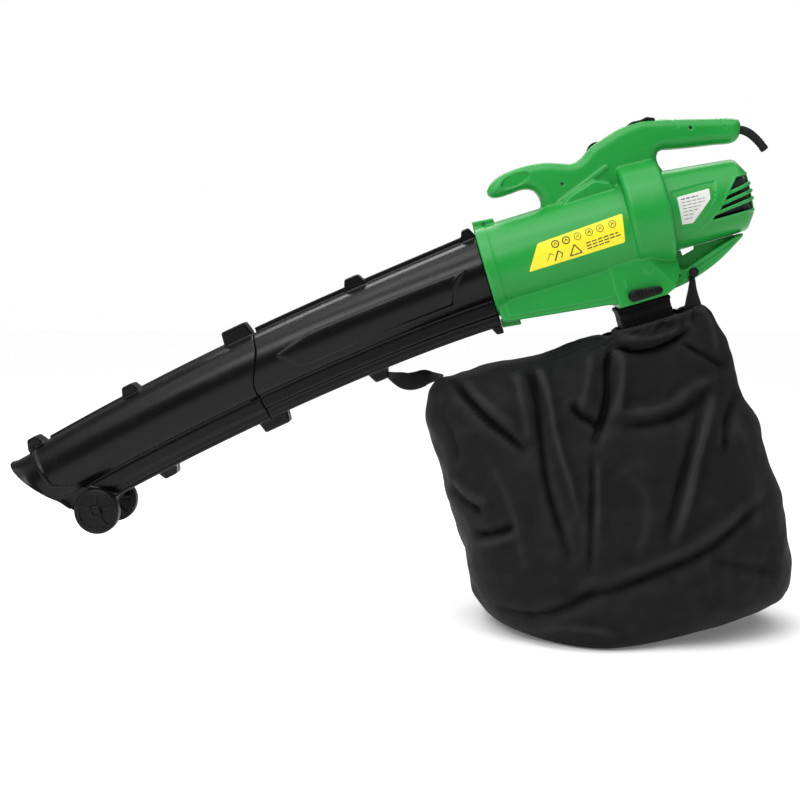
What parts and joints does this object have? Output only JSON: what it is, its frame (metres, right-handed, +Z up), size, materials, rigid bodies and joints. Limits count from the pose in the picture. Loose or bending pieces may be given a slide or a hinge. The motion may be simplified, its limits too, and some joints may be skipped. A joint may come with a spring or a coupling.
{
  "type": "leaf blower",
  "caption": "Corded hand-held garden blower and vacuum with a bent two-piece tube, nozzle wheels, motor housing with top handle, and a fabric collection bag.",
  "frame": {"origin": "middle of the footprint box, on the surface that the bag stands on", "axes": "+X from the nozzle towards the motor, +Z up, +Y to the machine's right seen from behind"},
  "size_m": [1.1078, 0.3052, 0.6982],
  "materials": {
    "green_plastic": "satin moulded green plastic with a fine grain",
    "black_plastic": "semi-matt moulded black plastic",
    "grey_plastic": "matt grey moulding",
    "soft_rubber": "matt black flexible PVC",
    "bag_fabric": "black woven polyester",
    "webbing": "black polypropylene webbing",
    "yellow_label": "printed yellow film",
    "white_label": "printed white film",
    "steel": "plated steel",
    "laminated_steel": "laminated steel stack",
    "copper": "enamelled copper winding",
    "circuit_board": "green circuit board"
  },
  "bodies": {
    "blower": {"rear_motor_cover": "green_plastic", "rating_label": "white_label", "motor_bulkhead": "black_plastic", "front_bearing": "steel", "motor_stator": "laminated_steel", "left_brush_holder": "grey_plastic", "right_brush_holder": "grey_plastic", "rear_bearing": "steel", "rear_bearing_bracket": "black_plastic", "upper_tube_left": "black_plastic", "upper_tube_right": "black_plastic", "lower_tube_left": "black_plastic", "lower_tube_right": "black_plastic", "screw_nozzle_top": "steel", "screw_lower_top": "steel", "screw_joint_top": "steel", "screw_upper_top": "steel", "screw_collar_top": "steel", "screw_lower_bottom": "steel", "screw_joint_bottom": "steel", "screw_upper_bottom": "steel", "screw_collar_bottom": "steel", "wheel_bracket": "black_plastic", "wheel_axle": "steel", "left_axle_cap": "black_plastic", "right_axle_cap": "black_plastic", "housing_left": "green_plastic", "housing_right": "green_plastic", "screw_housing_1": "steel", "screw_housing_2": "steel", "screw_housing_3": "steel", "screw_housing_4": "steel", "caution_label": "yellow_label", "switch_module": "grey_plastic", "speed_board": "circuit_board", "strap_peg": "black_plastic", "cord_guard": "soft_rubber", "mains_lead": "soft_rubber"},
    "left_wheel": {"left_wheel": "black_plastic"},
    "right_wheel": {"right_wheel": "black_plastic"},
    "rotor": {"impeller": "black_plastic", "motor_shaft": "steel", "motor_armature": "copper", "commutator": "copper", "cooling_fan": "black_plastic"},
    "power_switch": {"power_switch": "black_plastic"},
    "speed_dial": {"speed_dial": "black_plastic"},
    "mode_selector": {"mode_lever": "black_plastic", "diverter_flap": "grey_plastic"},
    "bag_unit": {"bag_connector": "black_plastic", "collection_bag": "bag_fabric", "front_strap": "webbing", "rear_strap": "webbing"}
  },
  "joints": [
    {"name": "left_wheel_spin", "type": "hinge", "parent": "blower", "child": "left_wheel", "pos_m": [-0.41282, 0, 0.15509], "axis": [0, 1, 0], "continuous": true},
    {"name": "right_wheel_spin", "type": "hinge", "parent": "blower", "child": "right_wheel", "pos_m": [-0.41282, 0, 0.15509], "axis": [0, 1, 0], "continuous": true},
    {"name": "rotor_spin", "type": "hinge", "parent": "blower", "child": "rotor", "pos_m": [0.34734, 0, 0.56583], "axis": [0.9744, 0, 0.225], "continuous": true},
    {"name": "power_rocker", "type": "hinge", "parent": "blower", "child": "power_switch", "pos_m": [0.34049, 0, 0.68399], "axis": [0, 1, 0], "range_deg": [0, 10]},
    {"name": "speed_turn", "type": "hinge", "parent": "blower", "child": "speed_dial", "pos_m": [0.28118, 0, 0.65226], "axis": [0, 1, 0], "range_deg": [0, 270]},
    {"name": "mode_turn", "type": "hinge", "parent": "blower", "child": "mode_selector", "pos_m": [0.32855, 0, 0.4597], "axis": [0, 1, 0], "range_deg": [0, 50]},
    {"name": "bag_pull", "type": "slide", "parent": "blower", "child": "bag_unit", "axis": [0.2924, 0, -0.9563], "range_m": [0, 0.05]}
  ]
}
